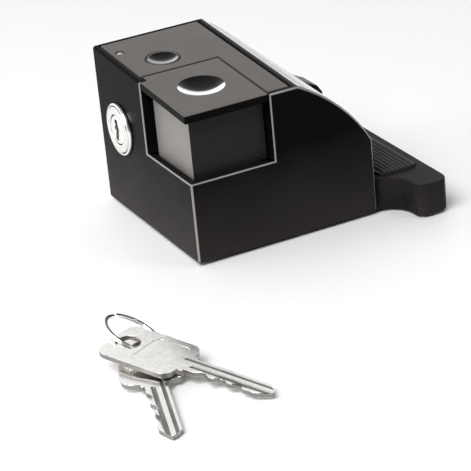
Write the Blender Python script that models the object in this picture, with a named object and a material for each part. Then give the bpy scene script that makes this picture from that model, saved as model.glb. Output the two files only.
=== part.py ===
"""Key-operated laptop lock block: a tower with a release button, a push button and a lock cylinder,
a low foot that runs under the computer's edge, and two keys on a ring lying in front of it.

Design coordinates are millimetres: x to the right, towards the computer, y to the back, z up.
Their zero is the tower's front lower left corner, on the desk. ORIGIN moves the finished model so
that its own zero is the bottom centre of its bounding box.
"""

import math

import bmesh
import bpy
from mathutils import Matrix, Vector

MM = 0.001
ORIGIN = Vector((13.489, -12.306, 0.0))

# Tower
WIDTH, DEPTH = 61.0, 64.0
FRONT_HEIGHT, REAR_HEIGHT = 47.8, 51.7
BASE_HEIGHT = 0.8
WALL = 2.2
CORNER_RADIUS = 0.8
SHOULDER_X = 37.6
SHOULDER_START, SHOULDER_END = math.radians(32), math.radians(66)
SHOULDER_RADIUS = (WIDTH - SHOULDER_X) / (math.sin(SHOULDER_END) - math.sin(SHOULDER_START))
TOP_WALL = 3.4
GAP = 0.3

# Notch in the front left upper corner, and the release button that stands in it
NOTCH_WIDTH, NOTCH_DEPTH, NOTCH_FLOOR = 28.0, 30.1, 26.5
WELL_LEFT, WELL_BACK = 2.3, 33.1
RECESS_DEPTH = 1.5
BUTTON_THICKNESS = 2.5
INSET_LEFT, INSET_RIGHT, INSET_FRONT, INSET_BACK = 3.0, 27.4, 4.0, 28.0
INSET_BOTTOM = 24.9
DISH_CENTRE, DISH_RADIUS, DISH_DEPTH = (14.5, 17.5), 7.0, 2.2

# Foot under the computer
FOOT_RIGHT, FOOT_FRONT, FOOT_BACK, FOOT_HEIGHT = 80.0, -12.0, 62.0, 11.0
FILLET = 8.0
REAR_GUIDE_FRONT = 53.0
FOOT_PAD = (64.0, 77.0, 2.0, 50.0)
FOOT_PAD_RADIUS = 2.0

# Latch bolt and its guides
BOLT_Y, BOLT_WIDTH = 16.0, 9.0
BOLT_LOW, BOLT_HIGH = 15.0, 19.0
BOLT_LEFT, BOLT_NOSE = 10.0, 66.5
POST_X, POST_FRONT_Y, POST_BACK_Y = 15.2, 7.6, 24.4
POST_RADIUS, POST_BOSS_RADIUS = 1.4, 3.2

# Lock cylinder and the hook slide that it drives
LOCK_Y, LOCK_Z = 48.0, 29.0
BARREL_RADIUS, PLUG_RADIUS = 6.2, 4.5
CAM_RADIUS = 3.5
HOOK_TRAVEL = 2 * CAM_RADIUS * math.sin(math.radians(45))
HOOK_LOW, HOOK_THICKNESS = 15.0, 1.6
HOOK_SCREWS = ((36.0, 49.0), (50.0, 49.0))
SLOT_GAP = 0.4

# Slot in the back for the head of a security cable
CABLE_SLOT_X, CABLE_SLOT_Z = 26.0, 25.0

# Push button on the top
PUSH_X, PUSH_Y, PUSH_RADIUS = 14.0, 42.5, 5.1
PUSH_HOLE_RADIUS = PUSH_RADIUS + 0.35
SLOPE = math.atan((REAR_HEIGHT - FRONT_HEIGHT) / DEPTH)
LAMP_X, LAMP_Y = 4.7, 53.6
LAMP_RADIUS, LAMP_HOLE_RADIUS = 1.1, 1.4
BOARD_LOW, BOARD_THICKNESS = 39.0, 1.6
BOARD_SCREWS = ((24.0, 40.5), (24.0, 57.0))

BASE_SCREWS = ((5.6, 5.6), (5.6, 58.4), (WIDTH - 5.6, 58.4), (WIDTH - 5.6, 5.6))
FEET = ((13.0, 9.0), (13.0, 55.0), (69.0, 10.0), (69.0, 53.0))

# Keys: hole at the key's own zero, blade along its own +x
KEY_THICKNESS = 1.5
KEY_END, KEY_NECK, KEY_TIP = 5.0, 19.5, 48.0
BOW_HALF_WIDTH, BLADE_HALF_WIDTH = 8.7, 3.1
KEY_HOLE_RADIUS = 3.6
# name: hole centre, heading, pitch down towards the tip
KEYS = {
    "key_upper": ((-42.2, -42.3, 5.5), -62.7, 4.8),
    "key_lower": ((-37.9, -42.54, 2.76), -106.5, 2.34),
}
RING_RADIUS, RING_WIRE = 8.3, 0.6
RING_CENTRE = (-38.0, -36.0)
RING_TILT, RING_LOW_SIDE = math.radians(31), math.radians(332.7)

FINISHES = {
    "black_plastic": ((0.020, 0.019, 0.019), 0.32, 0.0),
    "grey_satin": ((0.105, 0.100, 0.096), 0.42, 0.0),
    "rubber": ((0.018, 0.018, 0.018), 0.85, 0.0),
    "nickel": ((0.80, 0.78, 0.75), 0.20, 1.0),
    "chrome": ((0.88, 0.88, 0.88), 0.10, 1.0),
    "steel": ((0.56, 0.56, 0.57), 0.32, 1.0),
    "brass": ((0.78, 0.60, 0.32), 0.30, 1.0),
    "board_green": ((0.02, 0.14, 0.06), 0.45, 0.0),
    "lamp_clear": ((0.75, 0.85, 0.75), 0.15, 0.0),
}


# ---------------------------------------------------------------- helpers

def finish(name):
    """The material of this name, made on first use."""
    if name in bpy.data.materials:
        return bpy.data.materials[name]
    colour, roughness, metallic = FINISHES[name]
    material = bpy.data.materials.new(name)
    material.use_nodes = True
    shader = material.node_tree.nodes["Principled BSDF"]
    shader.inputs["Base Color"].default_value = (*colour, 1.0)
    shader.inputs["Roughness"].default_value = roughness
    shader.inputs["Metallic"].default_value = metallic
    return material


def make(name, shape, material, pivot=(0.0, 0.0, 0.0), smooth=False):
    """An object from a bmesh in design millimetres, with its origin at pivot."""
    bmesh.ops.transform(shape, matrix=Matrix.Translation(-Vector(pivot)), verts=shape.verts)
    bmesh.ops.scale(shape, vec=(MM, MM, MM), verts=shape.verts)
    bmesh.ops.recalc_face_normals(shape, faces=shape.faces)
    mesh = bpy.data.meshes.new(name)
    shape.to_mesh(mesh)
    shape.free()
    if smooth:
        mesh.shade_smooth()
        mesh.set_sharp_from_angle(angle=math.radians(35))
    mesh.materials.append(finish(material))
    made = bpy.data.objects.new(name, mesh)
    made.location = (Vector(pivot) - ORIGIN) * MM
    bpy.context.scene.collection.objects.link(made)
    return made


def boolean(target, shape, operation):
    """Adds a Boolean with a helper object that is not itself a part."""
    label = f"{target.name}_{operation.lower()}_{len(target.modifiers)}"
    helper = make(label, shape, target.data.materials[0].name)
    helper.hide_render = True
    helper.display_type = "WIRE"
    modifier = target.modifiers.new(label, "BOOLEAN")
    modifier.operation = operation
    modifier.object = helper


def cut(target, *shapes):
    for shape in shapes:
        boolean(target, shape, "DIFFERENCE")


def add(target, *shapes):
    for shape in shapes:
        boolean(target, shape, "UNION")


def soften(target, width, segments=1):
    modifier = target.modifiers.new("soft_edges", "BEVEL")
    modifier.width = width * MM
    modifier.segments = segments
    modifier.limit_method = "ANGLE"
    modifier.angle_limit = math.radians(40)


def top(y):
    """Height of the tower's sloping top at this depth."""
    return FRONT_HEIGHT + (REAR_HEIGHT - FRONT_HEIGHT) * y / DEPTH


def loft(first, second):
    """Closed solid between two outlines of the same number of 3-D points."""
    shape = bmesh.new()
    rings = [[shape.verts.new(point) for point in outline] for outline in (first, second)]
    shape.faces.new(rings[0])
    shape.faces.new(list(reversed(rings[1])))
    count = len(first)
    for i in range(count):
        j = (i + 1) % count
        shape.faces.new((rings[0][j], rings[0][i], rings[1][i], rings[1][j]))
    bmesh.ops.recalc_face_normals(shape, faces=shape.faces)
    return shape


def prism(outline, low, high, axis="z"):
    """An outline of two coordinates, extruded along an axis from low to high."""
    place = {
        "x": lambda a, b, c: (c, a, b),
        "y": lambda a, b, c: (a, c, b),
        "z": lambda a, b, c: (a, b, c),
    }[axis]
    return loft([place(a, b, low) for a, b in outline], [place(a, b, high) for a, b in outline])


def slab(outline, below, above):
    """An outline in x and y, extruded between two levels counted from the sloping top."""
    return loft([(x, y, top(y) + below) for x, y in outline], [(x, y, top(y) + above) for x, y in outline])


def block(low, high):
    corners = [(low[0], low[1]), (high[0], low[1]), (high[0], high[1]), (low[0], high[1])]
    return prism(corners, low[2], high[2])


def arc(centre, radius, start, end, steps):
    """Points on an arc, angles in degrees."""
    angles = [math.radians(start + (end - start) * i / steps) for i in range(steps + 1)]
    return [(centre[0] + radius * math.cos(a), centre[1] + radius * math.sin(a)) for a in angles]


def rounded(left, right, low, high, radius, steps=4):
    """Outline of a rectangle with round corners."""
    corners = ((right, high, 0), (left, high, 90), (left, low, 180), (right, low, 270))
    outline = []
    for x, y, start in corners:
        centre_x = x - radius if x == right else x + radius
        centre_y = y - radius if y == high else y + radius
        outline += arc((centre_x, centre_y), radius, start, start + 90, steps)
    return outline


def turned(profile, centre, axis="z", sides=32):
    """Solid of revolution. The profile is (distance along the axis, radius), from end to end."""
    place = {
        "x": lambda along, a, b: (along, a, b),
        "y": lambda along, a, b: (a, along, b),
        "z": lambda along, a, b: (a, b, along),
    }[axis]
    offset = Vector(centre)
    shape = bmesh.new()
    rings = []
    for along, radius in profile:
        ring = []
        for i in range(sides):
            angle = 2 * math.pi * i / sides
            point = place(along, radius * math.cos(angle), radius * math.sin(angle))
            ring.append(shape.verts.new(Vector(point) + offset))
        rings.append(ring)
    shape.faces.new(rings[0])
    shape.faces.new(rings[-1])
    for first, second in zip(rings, rings[1:]):
        for i in range(sides):
            j = (i + 1) % sides
            shape.faces.new((first[i], first[j], second[j], second[i]))
    bmesh.ops.recalc_face_normals(shape, faces=shape.faces)
    return shape


def rod(start, length, radius, axis="z", sides=24):
    """Cylinder from start, for this length along the axis."""
    return turned([(0.0, radius), (length, radius)], start, axis, sides)


def washer(profile, centre, axis="z", sides=32):
    """Solid ring from a closed profile of (distance along the axis, radius)."""
    place = {
        "x": lambda along, a, b: (along, a, b),
        "z": lambda along, a, b: (a, b, along),
    }[axis]
    offset = Vector(centre)
    shape = bmesh.new()
    sections = []
    for i in range(sides):
        angle = 2 * math.pi * i / sides
        section = []
        for along, radius in profile:
            point = place(along, radius * math.cos(angle), radius * math.sin(angle))
            section.append(shape.verts.new(Vector(point) + offset))
        sections.append(section)
    count = len(profile)
    for i in range(sides):
        first, second = sections[i], sections[(i + 1) % sides]
        for k in range(count):
            m = (k + 1) % count
            shape.faces.new((first[k], first[m], second[m], second[k]))
    bmesh.ops.recalc_face_normals(shape, faces=shape.faces)
    return shape


def coil(name, start, length, radius, wire, turns, axis):
    """Compression spring along an axis, as a curve with a round section."""
    steps = 10
    points = []
    for i in range(turns * steps + 1):
        angle = 2 * math.pi * i / steps
        along = wire + (length - 2 * wire) * i / (turns * steps)
        a, b = radius * math.cos(angle), radius * math.sin(angle)
        offset = (along, a, b) if axis == "x" else (a, b, along)
        points.append((Vector(start) + Vector(offset) - ORIGIN) * MM)
    curve = bpy.data.curves.new(name, "CURVE")
    curve.dimensions = "3D"
    curve.bevel_depth = wire * MM
    curve.bevel_resolution = 0
    curve.use_fill_caps = True
    spline = curve.splines.new("POLY")
    spline.points.add(len(points) - 1)
    for point, place in zip(spline.points, points):
        point.co = (*place, 1.0)
    curve.materials.append(finish("steel"))
    made = bpy.data.objects.new(name, curve)
    bpy.context.scene.collection.objects.link(made)
    return made


# ---------------------------------------------------------------- tower and foot

def shoulder(y, inset=0.0):
    """The rounded right shoulder, from the right wall up to the top, as (x, z) points."""
    height = SHOULDER_RADIUS * (math.cos(SHOULDER_START) - math.cos(SHOULDER_END))
    low = REAR_HEIGHT - height
    scale = (top(y) - low) / height
    points = []
    steps = 8
    for i in range(steps + 1):
        angle = SHOULDER_END + (SHOULDER_START - SHOULDER_END) * i / steps
        x = SHOULDER_X + SHOULDER_RADIUS * (math.sin(angle) - math.sin(SHOULDER_START))
        rise = SHOULDER_RADIUS * (math.cos(angle) - math.cos(SHOULDER_END))
        points.append((x - inset * math.sin(angle), low + rise * scale - inset * math.cos(angle)))
    return points


def tower_outline(y):
    points = [(0.0, BASE_HEIGHT), (WIDTH, BASE_HEIGHT), *shoulder(y), (0.0, top(y))]
    return [(x, y, z) for x, z in points]


def cavity_outline(y, low):
    inner = shoulder(y, WALL)
    inner[0] = (WIDTH - WALL, inner[0][1])
    inner = [point for point in inner if point[1] < top(y) - TOP_WALL]
    ceiling = top(y) - TOP_WALL
    points = [(WALL, low), (WIDTH - WALL, low), *inner[:7], (SHOULDER_X, ceiling), (WALL, ceiling)]
    return [(x, y, z) for x, z in points]


def foot_outline():
    """Plan of the foot, with a hollow fillet where it meets the tower's front."""
    left = WIDTH + FILLET
    return [
        (52.0, FOOT_BACK),
        (52.0, 1.0),
        *reversed(arc((WIDTH, 1.0 - FILLET), FILLET, 0, 90, 5)),
        *arc((left + 3.0, FOOT_FRONT + 3.0), 3.0, 180, 270, 3),
        *arc((FOOT_RIGHT - 4.0, FOOT_FRONT + 4.0), 4.0, 270, 360, 4),
        *arc((FOOT_RIGHT - 4.0, FOOT_BACK - 4.0), 4.0, 0, 90, 4),
    ]


def foot_inside(gap):
    """Plan of the space inside the foot and the tower, shrunk by a gap: base plate and cavity share it."""
    front = FOOT_FRONT + WALL + gap
    left = WIDTH + FILLET + WALL + gap
    right = FOOT_RIGHT - WALL - gap
    back = FOOT_BACK - WALL - gap
    tower_front = 3.4 + gap
    return [
        (50.0, back),
        (50.0, tower_front),
        (left, tower_front),
        (left, front),
        (right, front),
        (right, back),
    ]


def housing():
    """Moulded outer shell, open underneath."""
    shell = make("housing", loft(tower_outline(0.0), tower_outline(DEPTH)), "black_plastic")
    soften(shell, CORNER_RADIUS, 2)
    add(shell, prism(foot_outline(), BASE_HEIGHT, FOOT_HEIGHT))
    left, right = WIDTH - 4.0, WIDTH + 12.0
    slope = [(71.4, 23.4), (66.0, 26.2), (60.0, 28.4), (left, 29.5)]
    rear_guide = [(left, 5.0), (right, 5.0), (right, 21.0), *slope]
    add(shell, prism(rear_guide, REAR_GUIDE_FRONT, DEPTH - 1.0, "y"))
    cut(shell, loft(cavity_outline(WALL, -1.0), cavity_outline(DEPTH - WALL, -1.0)))
    cut(shell, prism(foot_inside(0.0), -1.0, FOOT_HEIGHT - WALL))

    # Solid walls around the notch and the well behind it
    add(shell, block((1.0, 1.0, NOTCH_FLOOR - WALL), (NOTCH_WIDTH + WALL, WELL_BACK + WALL, 46.0)))
    for x, y in BASE_SCREWS:
        add(shell, rod((x, y, 3.5), 9.5, 3.6))
    for x, y in BOARD_SCREWS:
        add(shell, rod((x, y, BOARD_LOW + BOARD_THICKNESS + GAP), 7.0, 2.8))

    cut(shell, block((-2.0, -2.0, NOTCH_FLOOR), (NOTCH_WIDTH, NOTCH_DEPTH, 60.0)))
    well_floor = top(WELL_BACK) - 7.2
    cut(shell, block((WELL_LEFT, NOTCH_DEPTH - 1.0, well_floor), (NOTCH_WIDTH, WELL_BACK, 60.0)))
    well_low = (INSET_LEFT - GAP, INSET_FRONT - GAP, 20.0)
    well_high = (INSET_RIGHT + GAP, INSET_BACK + GAP, 30.0)
    cut(shell, block(well_low, well_high))
    cut(shell, slab(panel_outline(-GAP), -RECESS_DEPTH, 4.0))
    # The panel's recess runs into the notch and the well, with no thin wall between them
    right, back = NOTCH_WIDTH + 0.2, WELL_BACK + 0.3
    seam = [(WELL_LEFT, 1.6), (right, 1.6), (right, back), (WELL_LEFT, back)]
    cut(shell, slab(seam, -RECESS_DEPTH, 4.0))
    cut(shell, tilted([(-12.0, PUSH_HOLE_RADIUS), (4.0, PUSH_HOLE_RADIUS)]))
    cut(shell, rod((LAMP_X, LAMP_Y, 44.0), 10.0, LAMP_HOLE_RADIUS, sides=16))
    cut(shell, rod((-5.0, LOCK_Y, LOCK_Z), 10.0, BARREL_RADIUS + GAP, "x", 32))
    for x, y in BASE_SCREWS:
        cut(shell, rod((x, y, 0.0), 11.0, 1.65, sides=16))
    for x, y in BOARD_SCREWS:
        cut(shell, rod((x, y, 38.0), 8.5, 1.45, sides=16))

    # Slots for the bolt, the hook and a security cable
    half = BOLT_WIDTH / 2 + SLOT_GAP
    cut(shell, block((50.0, BOLT_Y - half, BOLT_LOW - SLOT_GAP), (70.0, BOLT_Y + half, BOLT_HIGH + SLOT_GAP)))
    hook_high = HOOK_LOW + HOOK_THICKNESS + SLOT_GAP
    cut(shell, block((50.0, 24.0, HOOK_LOW - SLOT_GAP), (70.0, 36.5, hook_high)))
    slot_low = (CABLE_SLOT_X - 6.0, 55.0, CABLE_SLOT_Z - 3.5)
    slot_high = (CABLE_SLOT_X + 6.0, 70.0, CABLE_SLOT_Z + 3.5)
    cut(shell, block(slot_low, slot_high))
    cut(shell, prism(slot_plate_outline(GAP), DEPTH - 1.5, 70.0, "y"))
    # Seat for the pad on the foot
    left, right, low, high = FOOT_PAD
    seat = rounded(left - GAP, right + GAP, low - GAP, high + GAP, FOOT_PAD_RADIUS + GAP)
    cut(shell, prism(seat, FOOT_HEIGHT - 0.6, 20.0))
    return shell


def panel_outline(gap):
    """Plan of the top panel: an L around the release button."""
    left, right = 2.1 + gap, 35.3 - gap
    front, back = 1.9 + gap, 62.1 - gap
    return [
        (left, 33.6 + gap),
        (28.4 + gap, 33.6 + gap),
        (28.4 + gap, front),
        (right, front),
        (right, back),
        (left, back),
    ]


def top_panel():
    panel = make("top_panel", slab(panel_outline(0.0), -1.2, 0.0), "grey_satin")
    cut(panel, tilted([(-6.0, PUSH_HOLE_RADIUS), (4.0, PUSH_HOLE_RADIUS)]))
    cut(panel, rod((LAMP_X, LAMP_Y, 44.0), 10.0, LAMP_HOLE_RADIUS, sides=16))


def base_plate():
    """Chassis plate that closes the bottom and carries the guides."""
    low, high = 1.0, 3.2
    plate = make("base_plate", block((2.5, 2.5, low), (WIDTH - 2.5, 61.5, high)), "black_plastic")
    add(plate, prism(foot_inside(GAP), low, high))
    for y in (POST_FRONT_Y, POST_BACK_Y):
        add(plate, rod((POST_X, y, 2.5), 3.5, POST_BOSS_RADIUS, sides=20))
    for x, y in HOOK_SCREWS:
        add(plate, rod((x, y, 2.5), HOOK_LOW - 2.8, 3.8, sides=20))
    half = BOLT_WIDTH / 2
    for x in (34.0, 46.0):
        add(plate, block((x, BOLT_Y - half - 2.2, 2.5), (x + 4.0, BOLT_Y + half + 2.2, BOLT_HIGH + 2.2)))
        low_corner = (x - 1.0, BOLT_Y - half - GAP, BOLT_LOW - GAP)
        cut(plate, block(low_corner, (x + 5.0, BOLT_Y + half + GAP, BOLT_HIGH + GAP)))
    for x, y in BASE_SCREWS:
        cut(plate, turned([(0.0, 3.1), (1.0, 3.1), (2.6, 1.75), (5.0, 1.75)], (x, y, 0.0), sides=20))
    for x, y in FEET:
        cut(plate, rod((x, y, 0.0), 1.8, 4.7))
    for y in (POST_FRONT_Y, POST_BACK_Y):
        cut(plate, rod((POST_X, y, 3.2), 5.0, POST_RADIUS + 0.4, sides=16))
    for x, y in HOOK_SCREWS:
        cut(plate, rod((x, y, 7.0), 10.0, 1.5, sides=16))


def feet_and_base_screws():
    for i, (x, y) in enumerate(FEET):
        profile = [(0.0, 3.9), (0.5, 4.4), (1.5, 4.4)]
        make(f"foot_{i + 1}", turned(profile, (x, y, 0.0)), "rubber", smooth=True)
    for i, (x, y) in enumerate(BASE_SCREWS):
        profile = [(1.1, 2.6), (1.2, 2.6), (2.6, 1.35), (9.5, 1.35), (10.2, 0.7)]
        screw = make(f"base_screw_{i + 1}", turned(profile, (x, y, 0.0), sides=20), "steel")
        cut(screw, *cross_recess((x, y), 0.9, 1.2, 3.0, 0.7))


def cross_recess(centre, low, depth, length, width):
    x, y = centre
    first = block((x - length / 2, y - width / 2, low), (x + length / 2, y + width / 2, low + depth))
    second = block((x - width / 2, y - length / 2, low), (x + width / 2, y + length / 2, low + depth))
    return first, second


# ---------------------------------------------------------------- release button and latch

def button_outline():
    return [
        (GAP, GAP),
        (NOTCH_WIDTH - GAP, GAP),
        (NOTCH_WIDTH - GAP, 32.8),
        (2.6, 32.8),
        (2.6, 29.8),
        (GAP, 29.8),
    ]


def release_button():
    """Top plate with a finger dish, on a hollow block that slides into the tower."""
    button = make("release_button", slab(button_outline(), -BUTTON_THICKNESS, 0.0), "grey_satin")
    low, high = (INSET_LEFT, INSET_FRONT, INSET_BOTTOM), (INSET_RIGHT, INSET_BACK, 46.2)
    add(button, block(low, high))
    cut(button, block((4.8, 5.8, 20.0), (25.6, 26.2, 43.8)))
    # Ramp blade that draws the bolt back, one millimetre for each millimetre of travel
    ramp = [(25.4, 10.0), (25.4, 44.5), (9.0, 44.5), (9.0, 26.0), (25.0, 10.0)]
    add(button, prism(ramp, BOLT_Y - 2.2, BOLT_Y + 2.2, "y"))
    for y in (POST_FRONT_Y, POST_BACK_Y):
        add(button, rod((POST_X, y, INSET_BOTTOM), 19.5, 3.3))
        cut(button, rod((POST_X, y, 20.0), 18.0, POST_RADIUS + 0.5, sides=16))
    ball = (DISH_RADIUS ** 2 + DISH_DEPTH ** 2) / (2 * DISH_DEPTH)
    x, y = DISH_CENTRE
    dish = bmesh.new()
    bmesh.ops.create_uvsphere(dish, u_segments=48, v_segments=48, radius=ball)
    centre = Vector((x, y, top(y) - DISH_DEPTH + ball))
    bmesh.ops.transform(dish, matrix=Matrix.Translation(centre), verts=dish.verts)
    cut(button, dish)


def guide_posts_and_springs():
    for label, y in (("front", POST_FRONT_Y), ("rear", POST_BACK_Y)):
        profile = [(3.5, POST_RADIUS), (28.5, POST_RADIUS), (29.0, POST_RADIUS - 0.5)]
        make(f"guide_post_{label}", turned(profile, (POST_X, y, 0.0), sides=20), "steel", smooth=True)
        coil(f"release_spring_{label}", (POST_X, y, 6.3), 18.3, 2.55, 0.32, 6, "z")


def latch_bolt():
    """Flat bolt with a sloping window for the button's ramp and a bevelled nose."""
    half = BOLT_WIDTH / 2
    nose = [
        (BOLT_LEFT, BOLT_LOW),
        (BOLT_NOSE, BOLT_LOW),
        (BOLT_NOSE, BOLT_LOW + 0.8),
        (BOLT_NOSE - 3.2, BOLT_HIGH),
        (BOLT_LEFT, BOLT_HIGH),
    ]
    bolt = make("latch_bolt", prism(nose, BOLT_Y - half, BOLT_Y + half, "y"), "steel")
    slack = 0.45
    window = [
        (20.0 - slack + 1.0, BOLT_LOW - 1.0),
        (30.0, BOLT_LOW - 1.0),
        (30.0, BOLT_HIGH + 1.0),
        (16.0 - slack - 1.0, BOLT_HIGH + 1.0),
    ]
    cut(bolt, prism(window, BOLT_Y - 2.6, BOLT_Y + 2.6, "y"))
    coil("latch_spring", (2.5, BOLT_Y, 17.0), 7.2, 2.0, 0.3, 5, "x")


# ---------------------------------------------------------------- lock cylinder and hook

def lock_cylinder():
    centre = (0.0, LOCK_Y, LOCK_Z)
    ring = [(-1.2, 7.6), (-1.2, 8.0), (-0.8, 8.3), (-0.3, 8.3), (-0.3, 7.6)]
    make("lock_bezel", washer(ring, centre, "x", 40), "chrome", smooth=True)
    bore = PLUG_RADIUS + GAP
    flange = [(-1.6, 6.9), (-1.3, 7.3), (-0.3, 7.3)]
    barrel = [(-1.6, bore), *flange, (-0.3, BARREL_RADIUS), (20.0, BARREL_RADIUS), (20.0, bore)]
    make("lock_barrel", washer(barrel, centre, "x", 40), "nickel", smooth=True)
    hexagon = turned([(2.6, 9.0), (5.4, 9.0)], centre, "x", 6)
    nut = make("lock_nut", hexagon, "steel")
    cut(nut, rod(centre, 8.0, 6.6, "x", 32))
    plug_profile = [(-1.5, PLUG_RADIUS - 0.4), (-1.1, PLUG_RADIUS), (22.0, PLUG_RADIUS)]
    plug = make("lock_plug", turned(plug_profile, centre, "x"), "chrome", centre, smooth=True)
    cut(plug, block((-3.0, LOCK_Y - 0.95, LOCK_Z - 3.4), (17.0, LOCK_Y + 0.95, LOCK_Z + 3.4)))
    cut(plug, rod((18.0, LOCK_Y, LOCK_Z), 6.0, 1.4, "x", 16))
    cam = make("lock_cam", turned([(22.3, 6.2), (24.3, 6.2)], centre, "x"), "steel", centre)
    offset = CAM_RADIUS * math.sin(math.radians(45))
    add(cam, rod((24.0, LOCK_Y + offset, LOCK_Z - offset), 3.2, 1.5, "x", 20))
    cut(cam, turned([(21.0, 1.7), (22.6, 1.7), (23.9, 2.9), (25.5, 2.9)], centre, "x", 20))
    screw = [(18.6, 1.1), (22.4, 1.1), (22.7, 1.25), (23.8, 2.4), (24.2, 2.4)]
    screw = make("cam_screw", turned(screw, centre, "x", 20), "steel", centre)
    cut(screw, block((23.6, LOCK_Y - 2.0, LOCK_Z - 0.35), (25.0, LOCK_Y + 2.0, LOCK_Z + 0.35)))


def hook_slide():
    """Bent steel plate: the cam pin moves its upright end, and its arm ends in a hook."""
    high = HOOK_LOW + HOOK_THICKNESS
    plan = [
        (25.2, 38.0),
        (52.0, 38.0),
        (52.0, 29.5),
        (65.5, 29.5),
        (65.5, 26.5),
        (68.5, 26.5),
        (68.5, 36.0),
        (57.0, 36.0),
        (57.0, 58.0),
        (25.2, 58.0),
    ]
    slide = make("hook_slide", prism(plan, HOOK_LOW, high), "steel")
    upright = block((25.2, 44.0, HOOK_LOW + 0.2), (26.8, 57.0, 30.6))
    add(slide, upright)
    offset = CAM_RADIUS * math.sin(math.radians(45))
    y = LOCK_Y + offset
    slot = rounded(y - 1.85, y + 1.85, LOCK_Z - CAM_RADIUS - 1.9, LOCK_Z - offset + 1.9, 1.84, 5)
    cut(slide, prism(slot, 24.0, 28.0, "x"))
    for x, screw_y in HOOK_SCREWS:
        slot = rounded(x - 2.0, x + 2.0, screw_y - 2.0, screw_y + HOOK_TRAVEL + 2.0, 1.99, 5)
        cut(slide, prism(slot, HOOK_LOW - 1.0, high + 1.0))


def hook_screws():
    for i, (x, y) in enumerate(HOOK_SCREWS):
        profile = [(8.0, 1.2), (14.9, 1.2), (15.0, 1.6), (16.9, 1.6), (17.0, 3.2), (18.4, 3.2), (18.8, 2.8)]
        screw = make(f"hook_screw_{i + 1}", turned(profile, (x, y, 0.0), sides=20), "steel")
        cut(screw, *cross_recess((x, y), 17.9, 1.5, 3.0, 0.7))


# ---------------------------------------------------------------- push button, lamp and board

def tilted(profile, sides=32):
    """Turned solid on the push button's axis, square to the sloping top; zero is the top surface."""
    shape = turned(profile, (0.0, 0.0, 0.0), "z", sides)
    place = Matrix.Translation((PUSH_X, PUSH_Y, top(PUSH_Y))) @ Matrix.Rotation(SLOPE, 4, "X")
    bmesh.ops.transform(shape, matrix=place, verts=shape.verts)
    return shape


def push_button():
    centre = (PUSH_X, PUSH_Y, top(PUSH_Y))
    profile = [
        (-6.0, 1.9), (-4.7, 1.9), (-4.7, 6.3), (-3.75, 6.3), (-3.75, PUSH_RADIUS),
        (-0.3, PUSH_RADIUS), (0.0, PUSH_RADIUS - 0.3), (0.0, PUSH_RADIUS - 0.7), (-0.8, 3.0), (-1.2, 1.2),
    ]
    make("push_button", tilted(profile), "grey_satin", centre, smooth=True)
    centre_x, centre_y = PUSH_X, PUSH_Y - 0.25
    board_top = BOARD_LOW + BOARD_THICKNESS
    plunger = turned([(42.0, 1.5), (43.9, 1.5)], (centre_x, centre_y, 0.0), sides=16)
    make("switch_plunger", plunger, "rubber", (centre_x, centre_y, 44.0))
    low = board_top + GAP
    body = block((centre_x - 3.0, centre_y - 3.0, low), (centre_x + 3.0, centre_y + 3.0, 43.3))
    switch = make("tact_switch", body, "black_plastic")
    cut(switch, rod((centre_x, centre_y, 40.0), 6.0, 1.9, sides=16))
    coil("button_spring", (centre_x, centre_y, low), 4.2, 5.0, 0.25, 3, "z")


def lamp_and_board():
    board_top = BOARD_LOW + BOARD_THICKNESS
    board = make("switch_board", block((2.8, 36.0, BOARD_LOW), (27.5, 60.6, board_top)), "board_green")
    for x, y in BOARD_SCREWS:
        cut(board, rod((x, y, 36.0), 6.0, 1.5, sides=16))
    low = board_top + GAP
    make("lamp_chip", block((3.5, 52.3, low), (6.1, 54.9, 43.0)), "lamp_clear")
    height = top(LAMP_Y) - 0.05
    lens_profile = [(43.3, LAMP_RADIUS), (height - 0.2, LAMP_RADIUS), (height, LAMP_RADIUS - 0.2)]
    lens = turned(lens_profile, (LAMP_X, LAMP_Y, 0.0), sides=20)
    make("lamp_lens", lens, "lamp_clear", smooth=True)
    plug = make("board_connector", block((12.0, 52.5, low), (20.0, 56.5, 45.2)), "black_plastic")
    cut(plug, block((12.8, 53.3, 42.4), (19.2, 55.7, 48.0)))
    for i, (x, y) in enumerate(BOARD_SCREWS):
        profile = [(36.8, 1.8), (37.2, 2.3), (38.7, 2.3), (38.7, 1.15), (45.0, 1.15)]
        screw = make(f"board_screw_{i + 1}", turned(profile, (x, y, 0.0), sides=20), "steel")
        cut(screw, *cross_recess((x, y), 36.3, 1.3, 2.6, 0.6))


# ---------------------------------------------------------------- pads and cable slot

def slot_plate_outline(gap):
    x, z = CABLE_SLOT_X, CABLE_SLOT_Z
    half_width, half_height = 8.0 + gap, 5.0 + gap
    return rounded(x - half_width, x + half_width, z - half_height, z + half_height, 1.0 + gap)


def slot_plate():
    plate = make("cable_slot_plate", prism(slot_plate_outline(0.0), DEPTH - 1.2, DEPTH, "y"), "nickel")
    x, z = CABLE_SLOT_X, CABLE_SLOT_Z
    slot = rounded(x - 3.5, x + 3.5, z - 1.6, z + 1.6, 1.59, 5)
    cut(plate, prism(slot, DEPTH - 3.0, DEPTH + 3.0, "y"))


def pads():
    foot_pad = prism(rounded(*FOOT_PAD, FOOT_PAD_RADIUS), FOOT_HEIGHT - GAP, FOOT_HEIGHT + 0.9)
    make("foot_pad", foot_pad, "rubber")
    side = prism(rounded(40.0, 50.0, 14.0, 22.0, 1.5), WIDTH + GAP, WIDTH + GAP + 0.8, "x")
    make("side_pad", side, "rubber")


# ---------------------------------------------------------------- keys

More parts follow.
